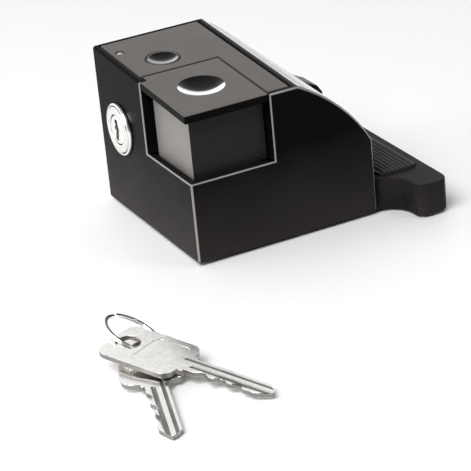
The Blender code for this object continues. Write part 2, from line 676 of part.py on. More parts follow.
def key_outline():
    """Bow, shoulders, a cut blade and a pointed tip, from the tip round to the tip again."""
    bow = BOW_HALF_WIDTH
    blade = BLADE_HALF_WIDTH
    corner = 3.5
    cuts = ((24.5, 0.0), (26.0, 1.3), (27.4, 1.3), (28.9, 0.2), (30.2, 0.2), (31.8, 1.7), (33.2, 1.7),
            (34.8, 0.5), (36.0, 0.5), (37.4, 1.4), (38.8, 1.4), (40.2, 0.3), (43.8, 0.3))
    lower = [(x, -blade + depth) for x, depth in cuts]
    return [
        *arc((-KEY_END + corner, -bow + corner), corner, 180, 270, 4),
        *arc((KEY_NECK - corner, -bow + corner), corner, 270, 360, 4),
        (KEY_NECK, -blade - 1.0),
        (KEY_NECK + 1.6, -blade - 1.0),
        (KEY_NECK + 1.6, -blade),
        *lower,
        (KEY_TIP - 0.8, -0.6),
        (KEY_TIP, 0.2),
        (KEY_TIP - 0.6, 1.2),
        (KEY_TIP - 2.6, blade),
        (KEY_NECK + 1.6, blade),
        (KEY_NECK + 1.6, blade + 1.0),
        (KEY_NECK, blade + 1.0),
        *arc((KEY_NECK - corner, bow - corner), corner, 0, 90, 4),
        *arc((-KEY_END + corner, bow - corner), corner, 90, 180, 4),
    ]


def keys():
    half = KEY_THICKNESS / 2
    for name, (hole, heading, pitch) in KEYS.items():
        key = make(name, prism(key_outline(), -half, half), "nickel", (0.0, 0.0, 0.0))
        cut_hole = rod((0.0, 0.0, -3.0), 6.0, KEY_HOLE_RADIUS, sides=28)
        cut(key, cut_hole)
        helper = key.modifiers[-1].object
        turn = Matrix.Rotation(math.radians(heading), 4, "Z") @ Matrix.Rotation(math.radians(pitch), 4, "Y")
        place = Matrix.Translation((Vector(hole) - ORIGIN) * MM) @ turn
        for piece in (key, helper):
            piece.matrix_world = place


def key_ring():
    """Closed ring of round wire, leaning on the desk with its low side under the key bows."""
    sides, section = 48, 8
    low_side = Vector((math.cos(RING_LOW_SIDE), math.sin(RING_LOW_SIDE), 0.0))
    across = Vector((-low_side.y, low_side.x, 0.0))
    down = low_side * math.cos(RING_TILT) - Vector((0.0, 0.0, math.sin(RING_TILT)))
    normal = down.cross(across)
    height = RING_RADIUS * math.sin(RING_TILT) + RING_WIRE + 0.05
    centre = Vector((*RING_CENTRE, height))
    shape = bmesh.new()
    loops = []
    for i in range(sides):
        angle = 2 * math.pi * i / sides
        outward = down * math.cos(angle) + across * math.sin(angle)
        loop = []
        for k in range(section):
            turn = 2 * math.pi * k / section
            offset = outward * math.cos(turn) + normal * math.sin(turn)
            loop.append(shape.verts.new(centre + outward * RING_RADIUS + offset * RING_WIRE))
        loops.append(loop)
    for i in range(sides):
        first, second = loops[i], loops[(i + 1) % sides]
        for k in range(section):
            m = (k + 1) % section
            shape.faces.new((first[k], first[m], second[m], second[k]))
    make("key_ring", shape, "nickel", tuple(centre), smooth=True)


def main():
    for old in list(bpy.data.objects):
        bpy.data.objects.remove(old)
    housing()
    top_panel()
    base_plate()
    feet_and_base_screws()
    release_button()
    guide_posts_and_springs()
    latch_bolt()
    lock_cylinder()
    hook_slide()
    hook_screws()
    push_button()
    lamp_and_board()
    slot_plate()
    pads()
    keys()
    key_ring()


main()
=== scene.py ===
"""Looks of the laptop lock block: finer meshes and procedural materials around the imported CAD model.

Places are given in design millimetres, as in part.py: x to the computer, y to the back, z up from the
desk, with zero at the tower's front lower left corner. at() turns them into metres in the row frame.
"""

import math

import bmesh
import bpy
from mathutils import Matrix, Vector

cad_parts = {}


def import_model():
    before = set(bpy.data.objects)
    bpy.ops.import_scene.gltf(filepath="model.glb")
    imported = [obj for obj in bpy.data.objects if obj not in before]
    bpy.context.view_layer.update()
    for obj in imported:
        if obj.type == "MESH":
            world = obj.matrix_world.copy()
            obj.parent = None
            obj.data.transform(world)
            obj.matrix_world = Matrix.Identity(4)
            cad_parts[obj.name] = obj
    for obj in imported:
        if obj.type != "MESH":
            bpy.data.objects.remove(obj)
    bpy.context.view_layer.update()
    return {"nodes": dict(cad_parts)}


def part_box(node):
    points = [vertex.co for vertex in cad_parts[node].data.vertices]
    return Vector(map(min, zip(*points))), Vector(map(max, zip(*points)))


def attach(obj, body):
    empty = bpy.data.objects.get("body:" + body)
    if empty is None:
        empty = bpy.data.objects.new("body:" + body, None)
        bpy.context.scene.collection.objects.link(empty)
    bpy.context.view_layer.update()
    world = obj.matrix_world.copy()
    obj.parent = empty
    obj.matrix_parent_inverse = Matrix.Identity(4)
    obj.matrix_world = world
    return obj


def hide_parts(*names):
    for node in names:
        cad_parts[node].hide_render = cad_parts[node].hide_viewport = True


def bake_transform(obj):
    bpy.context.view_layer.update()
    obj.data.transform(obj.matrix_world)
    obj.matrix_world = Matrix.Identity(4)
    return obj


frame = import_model()

MM = 0.001

# Sizes repeated from part.py, in millimetres
WIDTH, DEPTH = 61.0, 64.0
FRONT_HEIGHT, REAR_HEIGHT = 47.8, 51.7
SLOPE = math.atan((REAR_HEIGHT - FRONT_HEIGHT) / DEPTH)
FOOT_RIGHT, FOOT_FRONT, FOOT_BACK = 80.0, -12.0, 62.0
FEET = ((13.0, 9.0), (13.0, 55.0), (69.0, 10.0), (69.0, 53.0))
LOCK = (0.0, 48.0, 29.0)
PUSH_X, PUSH_Y, PUSH_RADIUS = 14.0, 42.5, 5.1
LAMP_X, LAMP_Y, LAMP_RADIUS = 4.7, 53.6, 1.1
PLATE_THICKNESS = 2.5
POST_X, POSTS_Y = 15.2, (7.6, 24.4)
DISH_X, DISH_Y, DISH_RADIUS, DISH_DEPTH = 14.5, 17.5, 7.0, 2.2
KEY_THICKNESS = 1.5

# Each key's ring hole, and the way its blade points: turn and dip in degrees
KEYS = {
    "key_upper": ((-42.2, -42.3, 5.5), -62.7, 4.8),
    "key_lower": ((-37.9, -42.54, 2.76), -106.5, 2.34),
}
RING_RADIUS, RING_WIRE = 8.3, 0.6
RING_CENTRE = (-38.0, -36.0)
RING_TILT, RING_LOW_SIDE = math.radians(31), math.radians(332.7)

# Where the split ring's wire starts, and how far round it goes: a little less than two turns
RING_START, RING_TURN = math.radians(140), math.radians(712)

housing_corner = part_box("housing")[0]
ORIGIN = Vector((housing_corner.x, housing_corner.y - FOOT_FRONT * MM, 0.0))

# The photograph's point of view, in design millimetres
CAMERA_PLACE = (-253.3, -574.3, 295.3)
CAMERA_AIM = (3.4, -20.0, 16.9)
CAMERA_ROLL = math.radians(-5.66)
CAMERA_LENS, CAMERA_SENSOR = 179.7, 36.0

# Brightness of the surroundings; each light's place from the tower's middle, its size, and its power
HORIZON_GLOW, SKY_GLOW = 3.0, 1.0
LIGHTS = {
    "key_light": ((-0.55, -0.30, 0.78), (0.7, 0.7), 9.5),
    "edge_light": ((0.50, -0.45, 0.90), (0.25, 0.25), 1.2),
    "left_light": ((-0.9, 0.25, 0.25), (0.5, 0.4), 2.0),
}


def at(x, y, z):
    """A design point in metres in the row frame."""
    return ORIGIN + Vector((x, y, z)) * MM


def top(y):
    """Height of the sloping top at this depth."""
    return FRONT_HEIGHT + (REAR_HEIGHT - FRONT_HEIGHT) * y / DEPTH


# ---------------------------------------------------------------- materials

class Material:
    """A node material around one Principled BSDF, textured in the row frame's metres."""

    def __init__(self, name):
        self.data = bpy.data.materials.new(name)
        self.data.use_nodes = True
        self.nodes = self.data.node_tree.nodes
        self.shader = self.nodes["Principled BSDF"]
        self.place = self.add("ShaderNodeTexCoord").outputs["Object"]

    def add(self, kind, **settings):
        """Makes a node with these settings."""
        made = self.nodes.new(kind)
        for name, value in settings.items():
            setattr(made, name, value)
        return made

    def link(self, output, target):
        """Joins an output to an input."""
        self.data.node_tree.links.new(output, target)

    def set(self, **values):
        """Fixed values on the shader's own sockets."""
        for name, value in values.items():
            self.shader.inputs[name.replace("_", " ")].default_value = value

    def noise(self, scale, detail=2.0, stretch=(1.0, 1.0, 1.0), roughness=0.5):
        """Noise in the row frame; a smaller stretch draws it out along that axis."""
        mapping = self.add("ShaderNodeMapping")
        mapping.inputs["Scale"].default_value = stretch
        self.link(self.place, mapping.inputs["Vector"])
        texture = self.add("ShaderNodeTexNoise")
        texture.inputs["Scale"].default_value = scale
        texture.inputs["Detail"].default_value = detail
        texture.inputs["Roughness"].default_value = roughness
        self.link(mapping.outputs["Vector"], texture.inputs["Vector"])
        return texture.outputs["Fac"]

    def spread(self, value, low, high, start=0.3, end=0.7):
        """Maps a noise value onto a range."""
        node = self.add("ShaderNodeMapRange")
        node.inputs["From Min"].default_value = start
        node.inputs["From Max"].default_value = end
        node.inputs["To Min"].default_value = low
        node.inputs["To Max"].default_value = high
        self.link(value, node.inputs["Value"])
        return node.outputs["Result"]

    def blend(self, factor, first, second):
        """Mixes two colours."""
        node = self.add("ShaderNodeMix", data_type="RGBA")
        node.inputs["A"].default_value = (*first, 1.0)
        node.inputs["B"].default_value = (*second, 1.0)
        self.link(factor, node.inputs["Factor"])
        return node.outputs["Result"]

    def bump(self, height, distance, strength=1.0, under=None):
        """Relief on the surface, added to the relief under it if there is one."""
        node = self.add("ShaderNodeBump")
        node.inputs["Strength"].default_value = strength
        node.inputs["Distance"].default_value = distance
        self.link(height, node.inputs["Height"])
        if under is not None:
            self.link(under, node.inputs["Normal"])
        self.link(node.outputs["Normal"], self.shader.inputs["Normal"])
        return node.outputs["Normal"]


def gloss_plastic(name, high_tone, floor_lit_tone, shine):
    """Polished black moulding with slight waviness and wipe marks, its colour lighter towards the desk:
    painted light from the pale floor.
    """
    m = Material(name)
    parts = m.add("ShaderNodeSeparateXYZ")
    m.link(m.place, parts.inputs["Vector"])
    # Height with a little random cloud: the colour grows lighter near the desk, painted light from the
    # floor.
    height_and_cloud = m.add("ShaderNodeMath", operation="MULTIPLY_ADD")
    height_and_cloud.inputs[1].default_value = 0.012
    m.link(m.noise(60.0, 4.0), height_and_cloud.inputs[0])
    m.link(parts.outputs["Z"], height_and_cloud.inputs[2])
    floor_light_share = m.spread(height_and_cloud.outputs["Value"], 1.0, 0.0, 0.004, 0.036)
    m.link(m.blend(floor_light_share, high_tone, floor_lit_tone), m.shader.inputs["Base Color"])
    smears = m.noise(45.0, 4.0, (1.0, 1.0, 3.0), 0.5)
    m.link(m.spread(smears, 0.22, 0.30), m.shader.inputs["Roughness"])
    wave = m.bump(m.noise(140.0, 1.0), 0.00004, 0.25)
    m.bump(m.noise(2200.0, 2.0), 0.00001, 0.12, wave)
    m.set(IOR=1.45, Specular_IOR_Level=shine)
    return m.data


def black_with_painted_reflection(name, start, end, pale):
    """Highly polished black whose base colour turns pale where it is seen along the surface: a painted
    reflection.
    """
    m = Material(name)
    weight = m.add("ShaderNodeLayerWeight")
    weight.inputs["Blend"].default_value = 0.5
    painted_reflection_share = m.spread(weight.outputs["Facing"], 0.0, 1.0, start, end)
    m.link(m.blend(painted_reflection_share, (0.0065, 0.0060, 0.0060), pale), m.shader.inputs["Base Color"])
    smears = m.noise(45.0, 4.0, (1.0, 1.0, 3.0), 0.5)
    m.link(m.spread(smears, 0.10, 0.16), m.shader.inputs["Roughness"])
    m.bump(m.noise(140.0, 1.0), 0.00003, 0.2)
    m.set(IOR=1.45, Specular_IOR_Level=0.3)
    return m.data


def satin_plastic():
    """Dark grey spark-eroded surface of the top panel and release plate."""
    m = Material("satin_grey")
    tone = m.spread(m.noise(85.0, 5.0), 0.0, 1.0)
    m.link(m.blend(tone, (0.077, 0.069, 0.064), (0.089, 0.080, 0.074)), m.shader.inputs["Base Color"])
    m.link(m.spread(m.noise(300.0, 3.0), 0.41, 0.46), m.shader.inputs["Roughness"])
    grain = m.bump(m.noise(1500.0, 3.0, roughness=0.7), 0.00005, 0.35)
    m.bump(m.noise(4200.0, 1.0), 0.00002, 0.3, grain)
    m.set(IOR=1.45, Specular_IOR_Level=0.35)
    return m.data


def lit_side_grey():
    """Satin silver-grey on the left face of the release button's block: painted light on its lit side."""
    m = Material("block_left_lit_grey")
    tone = m.spread(m.noise(70.0, 4.0), 0.0, 1.0)
    m.link(m.blend(tone, (0.174, 0.165, 0.158), (0.206, 0.196, 0.188)), m.shader.inputs["Base Color"])
    m.link(m.spread(m.noise(900.0, 3.0), 0.34, 0.46), m.shader.inputs["Roughness"])
    m.bump(m.noise(3200.0, 2.0), 0.00002, 0.35)
    m.set(Metallic=0.25)
    return m.data


def plated(name, colour, shade, stretch=(1.0, 1.0, 1.0), low=0.12, high=0.26):
    """Plated metal with fine drawn lines, clouding and a few scratches."""
    m = Material(name)
    cloud = m.spread(m.noise(130.0, 4.0), 0.0, 1.0)
    m.link(m.blend(cloud, shade, colour), m.shader.inputs["Base Color"])
    lines = m.noise(700.0, 4.0, stretch, 0.65)
    m.link(m.spread(lines, low, high), m.shader.inputs["Roughness"])
    m.bump(lines, 0.00002, 0.25)
    m.set(Metallic=1.0)
    return m.data


def turned_metal(name, colour, shade):
    """Lathe-turned face of the lock: fine rings about the lock's axis."""
    m = Material(name)
    shift = m.add("ShaderNodeVectorMath", operation="SUBTRACT")
    shift.inputs[1].default_value = at(*LOCK)
    m.link(m.place, shift.inputs[0])
    flat = m.add("ShaderNodeVectorMath", operation="MULTIPLY")
    flat.inputs[1].default_value = (0.0, 1.0, 1.0)
    m.link(shift.outputs["Vector"], flat.inputs[0])
    distance = m.add("ShaderNodeVectorMath", operation="LENGTH")
    m.link(flat.outputs["Vector"], distance.inputs[0])
    rings = m.add("ShaderNodeTexNoise", noise_dimensions="1D")
    rings.inputs["Scale"].default_value = 6000.0
    rings.inputs["Detail"].default_value = 3.0
    m.link(distance.outputs["Value"], rings.inputs["W"])
    tone = m.spread(m.noise(220.0, 3.0), 0.0, 1.0)
    m.link(m.blend(tone, shade, colour), m.shader.inputs["Base Color"])
    m.link(m.spread(rings.outputs["Fac"], 0.16, 0.30), m.shader.inputs["Roughness"])
    m.bump(rings.outputs["Fac"], 0.00003, 0.3)
    m.set(Metallic=1.0)
    return m.data


def rubber():
    """Matt black rubber of the feet and pads."""
    m = Material("black_rubber")
    tone = m.spread(m.noise(150.0, 5.0), 0.0, 1.0)
    m.link(m.blend(tone, (0.016, 0.016, 0.016), (0.030, 0.029, 0.028)), m.shader.inputs["Base Color"])
    m.link(m.spread(m.noise(600.0, 3.0), 0.72, 0.92), m.shader.inputs["Roughness"])
    m.bump(m.noise(1800.0, 4.0, roughness=0.7), 0.00006, 0.5)
    return m.data


def moulded_black():
    """Unpolished black moulding of the base plate and the inner plastic pieces."""
    m = Material("moulded_black")
    tone = m.spread(m.noise(110.0, 4.0), 0.0, 1.0)
    m.link(m.blend(tone, (0.020, 0.020, 0.020), (0.030, 0.029, 0.029)), m.shader.inputs["Base Color"])
    m.link(m.spread(m.noise(400.0, 3.0), 0.45, 0.60), m.shader.inputs["Roughness"])
    m.bump(m.noise(1400.0, 3.0, roughness=0.7), 0.00005, 0.5)
    return m.data


def circuit_board():
    """Green solder mask over copper tracks."""
    m = Material("circuit_board")
    tracks = m.add("ShaderNodeTexBrick")
    tracks.inputs["Scale"].default_value = 420.0
    tracks.inputs["Mortar Size"].default_value = 0.12
    tracks.inputs["Color1"].default_value = (0.012, 0.090, 0.035, 1.0)
    tracks.inputs["Color2"].default_value = (0.016, 0.110, 0.042, 1.0)
    tracks.inputs["Mortar"].default_value = (0.040, 0.200, 0.070, 1.0)
    m.link(m.place, tracks.inputs["Vector"])
    m.link(tracks.outputs["Color"], m.shader.inputs["Base Color"])
    m.link(m.spread(m.noise(500.0, 2.0), 0.28, 0.42), m.shader.inputs["Roughness"])
    m.bump(tracks.outputs["Fac"], 0.00003, 0.4)
    return m.data


def lamp_plastic():
    """Milky clear lens of the lamp."""
    m = Material("lamp_plastic")
    tone = m.spread(m.noise(900.0, 3.0), 0.0, 1.0)
    m.link(m.blend(tone, (0.66, 0.68, 0.64), (0.80, 0.81, 0.78)), m.shader.inputs["Base Color"])
    m.link(m.spread(m.noise(1500.0, 2.0), 0.10, 0.20), m.shader.inputs["Roughness"])
    m.set(Transmission_Weight=0.35, Subsurface_Weight=0.3)
    return m.data


# The gloss blacks grow lighter near the desk: painted light from the pale floor.
GLOSS = gloss_plastic("gloss_black", (0.0038, 0.0035, 0.0034), (0.0350, 0.0310, 0.0300), 0.02)
# Black for the release button block's faces other than the left one: painted shade.
BLOCK_SHADED_SIDES = gloss_plastic("block_shaded_black", (0.0230, 0.0210, 0.0204), (0.0280, 0.0255, 0.0248), 0.06)
# Finger dish of the release plate: its pale crescent at a glancing view is a painted reflection.
DISH_PAINTED_REFLECTION = black_with_painted_reflection("dish_painted_reflection", 0.545, 0.635, (0.98, 0.97, 0.96))
# Push button dish: paler at a glancing view, a painted reflection.
BUTTON_DISH_PAINTED_REFLECTION = black_with_painted_reflection("button_dish_painted_reflection", 0.545, 0.70, (0.42, 0.41, 0.40))
# Rounded shoulder of the housing: a pale band at a glancing view, a painted reflection.
SHOULDER_PAINTED_REFLECTION = black_with_painted_reflection("shoulder_painted_reflection", 0.74, 0.97, (0.80, 0.79, 0.78))
# Light grey for the housing's outer bevels: painted highlights along the edges.
EDGE_PAINTED_HIGHLIGHT = gloss_plastic("edge_painted_highlight", (0.230, 0.220, 0.213), (0.290, 0.278, 0.268), 0.30)
SATIN = satin_plastic()
# Grey for the release button block's left face: painted light.
BLOCK_LIT_SIDE = lit_side_grey()
NICKEL = plated("nickel_plate", (0.97, 0.96, 0.94), (0.90, 0.885, 0.86))
CHROME = turned_metal("turned_chrome", (0.92, 0.92, 0.91), (0.83, 0.83, 0.82))
BARREL = turned_metal("turned_nickel", (0.86, 0.85, 0.82), (0.76, 0.75, 0.73))
# Darker plating for the keys' side faces and milled groove floors: painted shade.
KEY_PAINTED_SHADE = plated("key_painted_shade", (0.34, 0.33, 0.32), (0.20, 0.195, 0.19), (1.0, 1.0, 1.0), 0.30, 0.48)
STEEL = plated("zinc_steel", (0.62, 0.62, 0.63), (0.50, 0.50, 0.51), (0.15, 1.0, 1.0), 0.24, 0.40)
SPRING = plated("spring_steel", (0.48, 0.47, 0.46), (0.38, 0.37, 0.36), (1.0, 1.0, 1.0), 0.25, 0.38)
RUBBER = rubber()
MOULDED = moulded_black()
BOARD = circuit_board()
LAMP = lamp_plastic()


# ---------------------------------------------------------------- mesh helpers

def to_bmesh(node):
    """The CAD node's mesh in design millimetres, its split points joined and its flat faces whole again."""
    shape = bmesh.new()
    shape.from_mesh(frame["nodes"][node].data)
    bmesh.ops.transform(shape, matrix=Matrix.Translation(-ORIGIN), verts=shape.verts)
    bmesh.ops.scale(shape, vec=(1 / MM, 1 / MM, 1 / MM), verts=shape.verts)
    bmesh.ops.remove_doubles(shape, verts=shape.verts, dist=0.002)
    bmesh.ops.dissolve_limit(shape, angle_limit=math.radians(0.5), verts=shape.verts, edges=shape.edges)
    return shape


def metres(shape):
    """Turns a bmesh in design millimetres into the row frame."""
    bmesh.ops.scale(shape, vec=(MM, MM, MM), verts=shape.verts)
    bmesh.ops.transform(shape, matrix=Matrix.Translation(ORIGIN), verts=shape.verts)
    bmesh.ops.recalc_face_normals(shape, faces=shape.faces)
    return shape


def round_edges(shape, width, angle=35.0, where=None, segments=2):
    """Bevels the sharp outward edges whose middle lies where wanted, or all; width is in millimetres."""
    limit = math.radians(angle)
    edges = []
    for edge in shape.edges:
        if not edge.is_manifold or not edge.is_convex or edge.calc_face_angle() < limit:
            continue
        if where is None or where((edge.verts[0].co + edge.verts[1].co) / 2):
            edges.append(edge)
    return bmesh.ops.bevel(
        shape, geom=edges, offset=width, offset_type="OFFSET", segments=segments,
        profile=0.5, affect="EDGES", clamp_overlap=False, loop_slide=True,
    )["faces"]


def show(name, shape, body, material, slot, *replaced, smooth_angle=None):
    """Makes a piece from a bmesh in the row frame and hides what it stands for; body None leaves it free."""
    mesh = bpy.data.meshes.new(name)
    shape.to_mesh(mesh)
    shape.free()
    mesh.shade_smooth()
    if smooth_angle is not None:
        mesh.set_sharp_from_angle(angle=math.radians(smooth_angle))
    materials = material if isinstance(material, list) else [material]
    for entry in materials:
        mesh.materials.append(entry)
    made = bpy.data.objects.new(name, mesh)
    bpy.context.scene.collection.objects.link(made)
    modifier = made.modifiers.new("even_normals", "WEIGHTED_NORMAL")
    modifier.keep_sharp = smooth_angle is not None
    if body is not None:
        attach(made, body)
    if replaced:
        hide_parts(*replaced)
    return made


def refine(node, width, material, slot, body="block"):
    """Stands a bevelled copy of a CAD node in its place."""
    shape = to_bmesh(node)
    round_edges(shape, width)
    show(f"{node}_skin", metres(shape), body, material, slot, node)


def combine(base, *steps):
    """Applies EXACT Booleans to a bmesh: steps are (operation, bmesh) pairs."""
    made = []
    for i, shape in enumerate((base, *(shape for _, shape in steps))):
        mesh = bpy.data.meshes.new(f"boolean_{i}")
        shape.to_mesh(mesh)
        shape.free()
        made.append(bpy.data.objects.new(f"boolean_{i}", mesh))
        bpy.context.scene.collection.objects.link(made[-1])
    target = made[0]
    for (operation, _), helper in zip(steps, made[1:]):
        modifier = target.modifiers.new(operation, "BOOLEAN")
        modifier.operation = operation
        modifier.object = helper
    graph = bpy.context.evaluated_depsgraph_get()
    result = bmesh.new()
    result.from_mesh(target.evaluated_get(graph).data)
    for item in made:
        mesh = item.data
        bpy.data.objects.remove(item)
        bpy.data.meshes.remove(mesh)
    return result


def loft(outlines):
    """Closed solid through a row of outlines of 3-D points, each with the same number of points."""
    shape = bmesh.new()
    rings = [[shape.verts.new(point) for point in outline] for outline in outlines]
    shape.faces.new(rings[0])
    shape.faces.new(list(reversed(rings[-1])))
    for first, second in zip(rings, rings[1:]):
        for i in range(len(first)):
            j = (i + 1) % len(first)
            shape.faces.new((first[j], first[i], second[i], second[j]))
    bmesh.ops.recalc_face_normals(shape, faces=shape.faces)
    return shape


def prism(outline, low, high, axis="z"):
    """Outline drawn out along an axis."""
    place = {
        "x": lambda a, b, c: (c, a, b),
        "y": lambda a, b, c: (a, c, b),
        "z": lambda a, b, c: (a, b, c),
    }[axis]
    return loft([[place(a, b, level) for a, b in outline] for level in (low, high)])


def block(low, high):
    """Box between two corners."""
    corners = [(low[0], low[1]), (high[0], low[1]), (high[0], high[1]), (low[0], high[1])]
    return prism(corners, low[2], high[2])


def arc(centre, radius, start, end, steps):
    """Points on an arc, angles in degrees."""
    angles = [math.radians(start + (end - start) * i / steps) for i in range(steps + 1)]
    return [(centre[0] + radius * math.cos(a), centre[1] + radius * math.sin(a)) for a in angles]


def rounded(left, right, low, high, radius, steps=8):
    """Outline of a rectangle with rounded corners."""
    outline = []
    for x, y, start in ((right, high, 0), (left, high, 90), (left, low, 180), (right, low, 270)):
        centre_x = x - radius if x == right else x + radius
        centre_y = y - radius if y == high else y + radius
        outline += arc((centre_x, centre_y), radius, start, start + 90, steps)
    return outline


def turned(profile, centre=(0.0, 0.0, 0.0), axis="z", sides=96, closed=False):
    """Solid of revolution from (distance along the axis, radius); closed makes a ring of it."""
    place = {
        "x": lambda along, a, b: (along, a, b),
        "z": lambda along, a, b: (a, b, along),
    }[axis]
    shape = bmesh.new()
    rings = []
    for along, radius in profile:
        ring = []
        for i in range(sides):
            turn = 2 * math.pi * i / sides
            point = place(along, radius * math.cos(turn), radius * math.sin(turn))
            ring.append(shape.verts.new(Vector(point) + Vector(centre)))
        rings.append(ring)
    pairs = list(zip(rings, rings[1:]))
    if closed:
        pairs.append((rings[-1], rings[0]))
    else:
        shape.faces.new(rings[0])
        shape.faces.new(rings[-1])
    for first, second in pairs:
        for i in range(sides):
            j = (i + 1) % sides
            shape.faces.new((first[i], first[j], second[j], second[i]))
    bmesh.ops.recalc_face_normals(shape, faces=shape.faces)
    return shape


def rod(place, low, high, radius, sides):
    """Upright round bar at (x, y)."""
    return turned([(low, radius), (high, radius)], (*place, 0.0), sides=sides)


def sloped(profile, x, y):
    """Turned solid square to the sloping top at this place; zero is the top surface."""
    shape = turned(profile)
    place = Matrix.Translation((x, y, top(y))) @ Matrix.Rotation(SLOPE, 4, "X")
    bmesh.ops.transform(shape, matrix=place, verts=shape.verts)
    return shape


def dish_profile(radius, depth, lip, above):
    """Hollow of a finger dish with a soft lip, as a cutter that ends above the surface."""
    ball = (radius ** 2 + depth ** 2) / (2 * depth)
    edge = math.asin((radius - lip) / ball)
    hollow_steps, lip_steps = 14, 6
    profile = []
    for i in range(1, hollow_steps + 1):
        turn = edge * i / hollow_steps
        profile.append((ball - depth - ball * math.cos(turn), ball * math.sin(turn)))
    start_along, start_radius = profile[-1]
    for i in range(1, lip_steps + 1):
        share = i / lip_steps
        rise = start_along * (1 - share) ** 2
        profile.append((rise, start_radius + 2 * lip * share))
    profile.append((above, profile[-1][1] + 0.01))
    return profile


# ---------------------------------------------------------------- pieces

def outside(point):
    """False inside the tower and the foot, where no edge needs a bevel."""
    x, y, z = point
    wall = 1.9
    notch = x < 30.5 and y < 35.5 and z > 24.2
    tower = wall < x < WIDTH - wall and wall < y < DEPTH - wall and z < 46.0
    foot = 50.0 < x < FOOT_RIGHT - wall and FOOT_FRONT + wall < y < FOOT_BACK - wall and z < 9.2
    return not foot and (notch or not tower)


def on_painted_highlight_edge(point):
    """True along the outer edges given a painted highlight, where light would catch them: all but those by
    the desk and in the slots.
    """
    x, y, z = point
    front = y < 0.6 and z > 2.0 and x < WIDTH + 0.5
    left_of_notch = x < 0.6 and 0.6 < y < 30.6 and z > 26.0
    return front or left_of_notch


def on_shoulder(face):
    """True on the rounded slope between the top and the right wall."""
    x, y, z = face.calc_center_median()
    over_shoulder = 37.5 < x < WIDTH + 0.1 and 0.5 < y < DEPTH - 0.5 and z > 28.0
    return over_shoulder and 0.35 < face.normal.z < 0.96


def housing():
    """Bevelled skin with lighter edges as painted highlights where light would catch them, and a shoulder
    turning pale at a glancing view as a painted reflection.
    """
    shape = to_bmesh("housing")
    for face in round_edges(shape, 0.38, where=outside):
        # Bevels along the front and by the notch take the lighter grey: painted highlights.
        flat = max(abs(face.normal.x), abs(face.normal.y)) >= 0.97
        if on_painted_highlight_edge(face.calc_center_median()) and not flat:
            face.material_index = 1
    shape.normal_update()
    # The shoulder faces take the painted reflection.
    for face in shape.faces:
        if on_shoulder(face):
            face.material_index = 2
    show("housing_skin", metres(shape), "block", [GLOSS, EDGE_PAINTED_HIGHLIGHT, SHOULDER_PAINTED_REFLECTION], "black_plastic", "housing")


def top_panel():
    """L-shaped inlay around the release button, with holes for the push button and the lamp."""
    outline = [(2.1, 33.6), (28.4, 33.6), (28.4, 1.9), (35.3, 1.9), (35.3, 62.1), (2.1, 62.1)]
    panel = loft([[(x, y, top(y) - level) for x, y in outline] for level in (1.2, 0.0)])
    round_edges(panel, 0.15)
    hole = PUSH_RADIUS + 0.35
    well = sloped([(-3.0, hole), (-0.2, hole), (0.2, hole + 0.4)], PUSH_X, PUSH_Y)
    lamp_hole = rod((LAMP_X, LAMP_Y), 44.0, 54.0, LAMP_RADIUS + 0.3, 48)
    shape = combine(panel, ("DIFFERENCE", well), ("DIFFERENCE", lamp_hole))
    show("top_panel_skin", metres(shape), "block", SATIN, "grey_satin", "top_panel", smooth_angle=30)


def release_button():
    """Plate with a polished, soft-lipped finger dish that turns pale at a glancing view, a painted
    reflection, over a hollow block grey on its left face as painted light and black on its other faces as
    painted shade.
    """
    outline = [(0.3, 0.3), (27.7, 0.3), (27.7, 32.8), (2.6, 32.8), (2.6, 29.8), (0.3, 29.8)]
    plate = loft([[(x, y, top(y) - level) for x, y in outline] for level in (PLATE_THICKNESS, 0.0)])
    round_edges(plate, 0.25, segments=3)
    body = block((3.0, 4.0, 24.9), (27.4, 28.0, 46.2))
    round_edges(body, 0.3, where=lambda point: 25.0 < point.z < 46.0, segments=3)
    inside = block((4.8, 5.8, 20.0), (25.6, 26.2, 43.8))
    ramp = [(25.7, 10.0), (25.7, 44.5), (9.0, 44.5), (9.0, 26.0), (25.0, 10.0)]
    steps = [("UNION", body), ("DIFFERENCE", inside), ("UNION", prism(ramp, 13.8, 18.2, "y"))]
    for y in POSTS_Y:
        steps.append(("UNION", rod((POST_X, y), 24.9, 44.4, 3.3, 32)))
        steps.append(("DIFFERENCE", rod((POST_X, y), 20.0, 38.0, 1.9, 32)))
    dish = sloped(dish_profile(DISH_RADIUS, DISH_DEPTH, 0.35, 3.0), DISH_X, DISH_Y)
    shape = combine(plate, *steps, ("DIFFERENCE", dish))
    shape.normal_update()
    materials = [SATIN, GLOSS, BLOCK_LIT_SIDE, DISH_PAINTED_REFLECTION, BLOCK_SHADED_SIDES]
    for face in shape.faces:
        x, y, z = face.calc_center_median()
        below = top(y) - z
        in_dish = math.hypot(x - DISH_X, y - DISH_Y) < DISH_RADIUS + 0.1 and 0.005 < below < 2.4
        # Faces in the dish take the painted reflection.
        if in_dish:
            finish = DISH_PAINTED_REFLECTION
        # The block's left face takes the grey as painted light; its other faces take black as painted shade.
        elif below > PLATE_THICKNESS - 0.05 and face.normal.x < -0.9 and x < 3.2:
            finish = BLOCK_LIT_SIDE
        elif below > PLATE_THICKNESS + 0.05:
            finish = BLOCK_SHADED_SIDES
        elif below > 0.3 or face.normal.z < 0.6:
            finish = GLOSS
        else:
            finish = SATIN
        face.material_index = materials.index(finish)
    show("release_button_skin", metres(shape), "release_slider", materials, "grey_satin", "release_button",
         smooth_angle=30)


